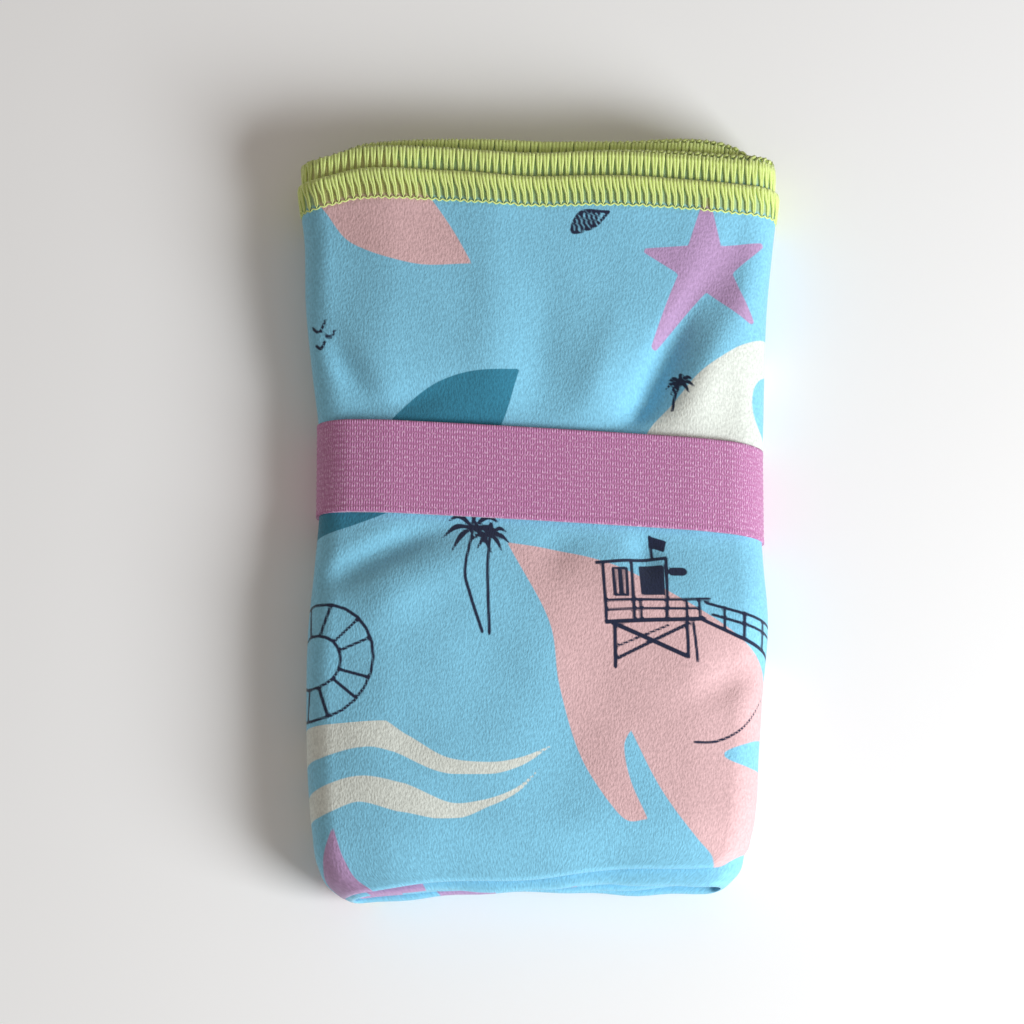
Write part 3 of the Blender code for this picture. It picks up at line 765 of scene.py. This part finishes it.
def tube_frame(distance, offset, y, forward_step, out_offset, out_y):
    """Path of a thread, and reference directions halfway between straight out of the face
    and straight ahead along the roll: each is the sum of two unit vectors."""
    path = place(distance, offset, y)
    outward = place(distance, offset + out_offset, y + out_y) - path
    forward = place(distance + forward_step, offset, y) - path
    reference = outward / np.linalg.norm(outward, axis=1, keepdims=True)
    reference += forward / np.linalg.norm(forward, axis=1, keepdims=True)
    return path, reference


def long_edge_thread(run, side):
    """A thread run along one long edge of the towel, on the whole roll."""
    edge_y = FRONT_EDGE_Y if side > 0 else UNDER_EDGE_Y
    count = int(TOWEL_LENGTH / STITCH_PITCH)
    along, height, depth = stitch_run(run, count)
    if run == "lower":
        offset = side * (EDGE_INSIDE - height)
    else:
        offset = side * (EDGE_FACE + height)
    distance = along * TOWEL_LENGTH / count
    path, reference = tube_frame(distance, offset, edge_y - depth, SMALL_STEP, SMALL_STEP, 0.0)
    return path, reference, looper_radius(run, depth)


def looper_radius(run, depth):
    """Radius along a run: loopers fluff out towards the edge, the needle thread doesn't."""
    if run == "needle":
        return np.full(len(depth), NEEDLE_RADIUS) * MM
    return (LOOPER_RADIUS + LOOPER_SPREAD * np.clip(1 - depth / FLUFF_DEPTH, 0, 1)) * MM


def short_edge_thread(run, edge, inward):
    """A thread run along a short edge: down the front ply, round the bottom fold and up
    the under ply, stopping short of the long edges' own stitches."""
    top_front = FRONT_EDGE_Y - OVERLOCK_DEPTH - CORNER_GAP
    top_under = UNDER_EDGE_Y - OVERLOCK_DEPTH - CORNER_GAP
    bottom = BOTTOM_Y + PLY_FACE
    count = int((top_front + top_under - 2 * bottom) / STITCH_PITCH)
    along, height, depth = stitch_run(run, count, detail=False)
    face = 0.16 if run == "lower" else PLY_FACE - 0.1
    reach = face + (0.1 if run == "lower" else 1.0) * height
    bend = np.pi * face
    travel = along / count * (top_front + top_under - 2 * bottom + bend)
    turn = np.clip((travel - (top_front - bottom)) / face, 0.0, np.pi)
    straight = np.clip(travel - (top_front - bottom) - bend, 0.0, None)
    offset = reach * np.cos(turn)
    y = np.maximum(top_front - travel, bottom) - reach * np.sin(turn) + straight
    path, reference = tube_frame(edge + inward * depth, offset, y, 6 * SMALL_STEP,
                                 SMALL_STEP * np.cos(turn), -SMALL_STEP * np.sin(turn))
    return path, reference, SHORT_EDGE_SHARE * looper_radius(run, depth)


# Textured ("woolly") polyester: crimped filaments that scatter light, so it is matt and
# mottled light and dark. The mottling is drawn coarser than the filaments, to show.
FIBRE = 0.35
overlock_thread, tree, shader = new_material(
    "textured_polyester_thread", Roughness=0.85, Specular_IOR_Level=0.3, Sheen_Weight=0.4)
where = add_node(tree, "ShaderNodeTexCoord").outputs["Object"]
fibres = add_node(tree, "ShaderNodeTexNoise", {
    "Vector": where, "Scale": 1 / (FIBRE * MM), "Detail": 2.0}).outputs[0]
thread_colour = add_node(tree, "ShaderNodeMix", {
    0: fibres, 6: linear("#c2da62"), 7: linear("#f2fbb2")}, data_type="RGBA").outputs[2]
tree.links.new(thread_colour, shader.inputs["Base Color"])
fluff = add_node(tree, "ShaderNodeBump", {
    "Height": fibres, "Strength": 0.5, "Distance": 0.15 * MM})
tree.links.new(fluff.outputs[0], shader.inputs["Normal"])

RUNS = (("upper", "upper_looper"), ("lower", "lower_looper"), ("needle", "needle_thread"))
for label, side in (("front_long_edge", 1.0), ("under_long_edge", -1.0)):
    for run, node in RUNS:
        path, reference, radius = long_edge_thread(run, side)
        thread = thread_piece(f"{label}_{run}_stitches", path, reference, radius,
                              overlock_thread)
        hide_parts(f"{label}_{node}")
for label, edge, inward in (("inner_short_edge", 0.0, 1.0),
                            ("outer_short_edge", TOWEL_LENGTH, -1.0)):
    for run, node in RUNS:
        path, reference, radius = short_edge_thread(run, edge, inward)
        thread = thread_piece(f"{label}_{run}_stitches", path, reference, radius,
                              overlock_thread)
        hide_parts(f"{label}_{node}")


# --- Elastic loop ----------------------------------------------------------------------
# Stock 25 mm knitted elastic: rubber strands inside a polyester knit cover, with a
# firmer picot-like selvedge on both sides, lapped and stitched into a loop underneath.

BAND_THICKNESS = 1.3
BAND_LAP = 8.0                # half the length of the lap
LAP_STEP = 5.0                # the length over which the upper end steps down past it
LAP_GAP = 0.1
SIDE_TUCK = 1.4               # how far each side stays inside the solid it replaces
COURSE = 0.66                   # spacing of the fine ribs that lie across the loop
WALE = 1.56                 # and of the rows that run along it
SELVEDGE = 1.4                # width of the firmer strip along each side
RIB_HEIGHT = 0.05
SELVEDGE_HEIGHT = 0.08


def band_line():
    """Middle line of the elastic, from the lap's inner cut end round to its outer one."""
    floor_z = BAND_THICKNESS / 2
    lap_z = floor_z + BAND_THICKNESS + LAP_GAP
    radius = (band_high[2] - BAND_THICKNESS) / 2
    arc_x = band_high[0] - radius - BAND_THICKNESS / 2 - SIDE_TUCK
    turn = np.linspace(0.0, np.pi, 40)
    left = np.stack([-arc_x - radius * np.sin(turn), radius * (1 - np.cos(turn)) + floor_z], 1)
    right = np.stack([arc_x + radius * np.sin(turn), radius * (1 + np.cos(turn)) + floor_z], 1)
    across = np.linspace(-arc_x, arc_x, 60)[1:-1]
    top = np.stack([across, np.full(len(across), 2 * radius + floor_z)], 1)
    drop = np.linspace(0.0, 1.0, 12)
    ease = drop * drop * (3 - 2 * drop)
    step = np.stack([-BAND_LAP - LAP_STEP * drop, lap_z + (floor_z - lap_z) * ease], 1)
    lap = np.stack([np.linspace(BAND_LAP, -BAND_LAP, 12), np.full(12, lap_z)], 1)[:-1]
    tail = np.stack([np.linspace(arc_x, -BAND_LAP, 40), np.full(40, floor_z)], 1)[1:]
    line = np.concatenate([lap, step, left, top, right, tail])
    share = np.clip((line[:, 1] - floor_z) / (2 * radius), 0.0, 1.0)
    share *= np.abs(line[:, 1] - lap_z) > 0.2
    crown = BAND_CROWN * (1.0 - (line[:, 0] / SHOULDER_END) ** 2) - shoulder(line[:, 0])
    line[:, 1] += share * crown
    return line


def even_points(line, spacing):
    """The line resampled at an even spacing, with its outward normals and distances."""
    reach = np.concatenate([[0.0], np.cumsum(np.hypot(*np.diff(line, axis=0).T))])
    count = int(round(reach[-1] / spacing)) + 1
    distance = np.linspace(0.0, reach[-1], count)
    points = np.stack([np.interp(distance, reach, line[:, k]) for k in (0, 1)], 1)
    ahead = np.gradient(points, axis=0)
    ahead /= np.linalg.norm(ahead, axis=1, keepdims=True)
    normals = np.stack([-ahead[:, 1], ahead[:, 0]], 1)
    return points, normals, distance


BAND_LINE = band_line()


def band_place(points, normals, offset, y):
    """World point, in metres, on the elastic: off its middle line, across its width."""
    x = points[:, 0, None] + offset * normals[:, 0, None]
    z = points[:, 1, None] + offset * normals[:, 1, None]
    world_y = BAND_MIDDLE_Y + y - BAND_SLOPE * x
    return np.stack(np.broadcast_arrays(x, world_y, z), -1) * MM


def knit_relief(distance, y):
    """Height of the knit's outer face: half a sine per course, plus a cosine per wale
    inside the selvedges and taller courses on them."""
    course = np.abs(np.sin(np.pi * distance / COURSE))
    wale = np.cos(2 * np.pi * y / WALE)
    selvedge_y = BAND_WIDTH / 2 - SELVEDGE
    selvedge = smooth_step(np.abs(y), selvedge_y, selvedge_y + 0.3)
    inner = RIB_HEIGHT * (course + wale * (1 - selvedge))
    return inner + SELVEDGE_HEIGHT * selvedge * course


# Knitted elastic of dyed polyester yarn round rubber: its courses lie across the loop as
# fine ribs, its wales run along it, and pale flecks break both up.
pink_knit, tree, shader = new_material(
    "knitted_polyester_elastic", Roughness=0.8, Specular_IOR_Level=0.3, Sheen_Weight=0.3)
knit_mm = add_node(tree, "ShaderNodeAttribute", attribute_name="knit_mm").outputs["Vector"]
courses = add_node(tree, "ShaderNodeTexWave", {
    "Vector": knit_mm, "Scale": 2 * np.pi / COURSE / 20, "Distortion": 0.6, "Detail": 1.0,
    "Detail Scale": 3.0}, bands_direction="X").outputs["Fac"]
wales = add_node(tree, "ShaderNodeTexWave", {
    "Vector": knit_mm, "Scale": 2 * np.pi / WALE / 20, "Distortion": 0.8, "Detail": 1.0,
    "Detail Scale": 3.0}, bands_direction="Y").outputs["Fac"]
flecks = add_node(tree, "ShaderNodeTexNoise", {
    "Vector": add_node(tree, "ShaderNodeMapping", {
        "Vector": knit_mm, "Scale": (0.9 / COURSE, 1.3 / WALE, 1.0)}).outputs[0],
    "Scale": 1.6, "Detail": 1.0}).outputs[0]
rib = add_node(tree, "ShaderNodeMath", {0: courses, 1: wales}, operation="MULTIPLY").outputs[0]
fleck = add_node(tree, "ShaderNodeMapRange", {
    "Value": flecks, "From Min": 0.52, "From Max": 0.7, "To Max": 0.7}).outputs[0]
knit_colour = add_node(tree, "ShaderNodeMix", {
    0: rib, 6: linear("#b5719f"), 7: linear("#d492c4")}, data_type="RGBA").outputs[2]
knit_colour = add_node(tree, "ShaderNodeMix", {
    0: fleck, 6: knit_colour, 7: linear("#ecc3e2")}, data_type="RGBA").outputs[2]
tree.links.new(knit_colour, shader.inputs["Base Color"])
ribbing = add_node(tree, "ShaderNodeBump", {
    "Height": rib, "Strength": 0.7, "Distance": 0.2 * MM})
tree.links.new(ribbing.outputs[0], shader.inputs["Normal"])

band_points, band_normals, band_distance = even_points(BAND_LINE, COURSE / 3)
half_width = BAND_WIDTH / 2
outer_y = np.linspace(-half_width, half_width, 61)
inner_y = np.linspace(half_width, -half_width, 5)
relief = knit_relief(band_distance[:, None], outer_y[None, :])
outer_offset = BAND_THICKNESS / 2 - SELVEDGE_HEIGHT + relief
inner_offset = np.full((len(band_distance), len(inner_y)), -BAND_THICKNESS / 2)
band_grid = np.concatenate([
    band_place(band_points, band_normals, outer_offset, outer_y[None, :]),
    band_place(band_points, band_normals, inner_offset, inner_y[None, :])], axis=1)
rows, columns = band_grid.shape[:2]
band_ends = [range(columns), range(rows * columns - 1, (rows - 1) * columns - 1, -1)]
band = mesh_piece("elastic_loop", band_grid,
                  grid_quads(rows, columns, close_columns=True)[:, ::-1], band_ends, "band")
band.data.materials.append(pink_knit)
across_band = np.concatenate([outer_y, inner_y])
knit_place = np.stack(np.broadcast_arrays(band_distance[:, None], across_band[None, :], 0.0), -1)
layer = band.data.attributes.new("knit_mm", "FLOAT_VECTOR", "POINT")
layer.data.foreach_set("vector", knit_place.astype(np.float32).ravel())
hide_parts("elastic_cover")


# --- Rubber strands --------------------------------------------------------------------
# Eight square-cut rubber threads laid in the knit along its whole length. They are inside
# the cover and reach as far as its cut ends.

STRAND_SPACING = 2.8
STRAND_HALF = 0.25
STRANDS = 8

# Natural rubber thread, cut from sheet: tan, matt, with a trace of talc.
rubber = new_material(
    "natural_rubber_thread", Base_Color=linear("#cbb894"), Roughness=0.65)[0]

STRAND_STEP = 1.2
strand_points, strand_normals = even_points(BAND_LINE, STRAND_STEP)[:2]
corner_offset = np.array([-1.0, 1.0, 1.0, -1.0])[None, :] * STRAND_HALF
corner_y = np.array([-1.0, -1.0, 1.0, 1.0])[None, :] * STRAND_HALF
for number in range(STRANDS):
    middle_y = (number - (STRANDS - 1) / 2) * STRAND_SPACING
    grid = band_place(strand_points, strand_normals, corner_offset, corner_y + middle_y)
    count = len(strand_points)
    ends = [range(4), range(count * 4 - 1, count * 4 - 5, -1)]
    strand = mesh_piece(f"elastic_strand_{number + 1}", grid,
                        grid_quads(count, 4, close_columns=True)[:, ::-1], ends, "band",
                        smooth=False)
    strand.data.materials.append(rubber)
    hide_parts(f"rubber_strand_{number + 1}")


# --- Lap stitches ----------------------------------------------------------------------
# Two rows of zigzag stitching in pink polyester thread hold the elastic's lap shut. Each
# row shows on the underside of the loop and again inside it, against the towel.

ROW_X = 5.0
ROW_HALF = 11.6
ZIGZAG_HALF = 0.8
ZIGZAG_STEP = 0.7
LAP_THREAD_RADIUS = 0.16

# Spun polyester sewing thread: matt, twisted from short fibres.
lap_thread = new_material(
    "spun_polyester_thread", Base_Color=linear("#d79ac8"), Roughness=0.8)[0]

rows_y = np.arange(-ROW_HALF, ROW_HALF + 0.01, ZIGZAG_STEP)
swing = np.where(np.arange(len(rows_y)) % 2 == 0, -ZIGZAG_HALF, ZIGZAG_HALF)
inside_z = 2 * BAND_THICKNESS + 0.15
for number, row_x in ((1, -ROW_X), (2, ROW_X)):
    under = np.stack([row_x + swing, rows_y, np.full(len(rows_y), 0.04)], 1)
    over = under[::-1] + (0.0, 0.0, inside_z)
    turn_up = np.stack([np.full(3, row_x + swing[-1]), np.full(3, ROW_HALF + 0.25),
                        np.array([0.5, 1.4, 2.3])], 1)
    route = np.concatenate([under, turn_up, over])
    route[:, 1] += BAND_MIDDLE_Y - BAND_SLOPE * route[:, 0]
    reference = np.tile([0.6, 0.25, 1.0], (len(route), 1))
    stitches = thread_piece(f"lap_stitches_{number}", route * MM, reference,
                            LAP_THREAD_RADIUS * MM, lap_thread, "band")
    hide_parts(f"lap_stitch_row_{number}")


# --- Floor, light and camera -----------------------------------------------------------
# A sheet of white card under the pack, one soft lamp off to the right and towards the
# folded end, and a warm even fill from all round. The camera looks down from nearly
# straight above through a long lens.

CAMERA_ELEVATION = 76.0
CAMERA_DISTANCE = 1.4
CAMERA_LENS = 187.0
CAMERA_SENSOR = 36.0
CAMERA_AIM = Vector((-0.0074, -0.0004, 0.018))
FLOOR_HALF = 2.0
FLOOR_Z = -0.0003
LAMP_PLACE = Vector((0.76, -0.46, 0.52))
LAMP_AIM = Vector((0.0, 0.0, 0.01))
LAMP_POWER = 13.0
LAMP_SIZE = 0.5
LAMP_COLOUR = (0.93, 0.97, 1.0)
FILL_COLOUR = (1.0, 0.90, 0.82, 1.0)
FILL_STRENGTH = 0.32

camera_data = bpy.data.cameras.new("camera")
camera_data.lens = CAMERA_LENS
camera_data.sensor_width = CAMERA_SENSOR
camera = bpy.data.objects.new("camera", camera_data)
bpy.context.scene.collection.objects.link(camera)
bpy.context.scene.camera = camera
elevation = np.radians(CAMERA_ELEVATION)
back = Vector((0.0, -np.cos(elevation), np.sin(elevation)))
camera.location = CAMERA_AIM + back * CAMERA_DISTANCE
camera.rotation_mode = "QUATERNION"
camera.rotation_quaternion = (-back).to_track_quat("-Z", "Y")

floor_mesh = bpy.data.meshes.new("floor")
floor_corners = [(x * FLOOR_HALF, y * FLOOR_HALF, 0)
                 for x, y in ((-1, -1), (1, -1), (1, 1), (-1, 1))]
floor_mesh.from_pydata(floor_corners, [], [(0, 1, 2, 3)])
floor = bpy.data.objects.new("floor", floor_mesh)
floor.location.z = FLOOR_Z
bpy.context.scene.collection.objects.link(floor)
# White card: uncoated paper board, so matt and even.
floor_mesh.materials.append(new_material(
    "white_card", Base_Color=linear("#fafafa"), Roughness=0.9, Specular_IOR_Level=0.1)[0])

world = bpy.data.worlds.new("studio")
world.use_nodes = True
fill = world.node_tree.nodes["Background"]
fill.inputs["Color"].default_value = FILL_COLOUR
fill.inputs["Strength"].default_value = FILL_STRENGTH
bpy.context.scene.world = world

lamp_data = bpy.data.lights.new("lamp", "AREA")
lamp_data.energy = LAMP_POWER
lamp_data.color = LAMP_COLOUR
lamp_data.size = LAMP_SIZE
lamp = bpy.data.objects.new("lamp", lamp_data)
lamp.location = LAMP_PLACE
lamp.rotation_mode = "QUATERNION"
lamp.rotation_quaternion = (LAMP_AIM - LAMP_PLACE).to_track_quat("-Z", "Y")
bpy.context.scene.collection.objects.link(lamp)

bpy.context.scene.view_settings.view_transform = "Standard"
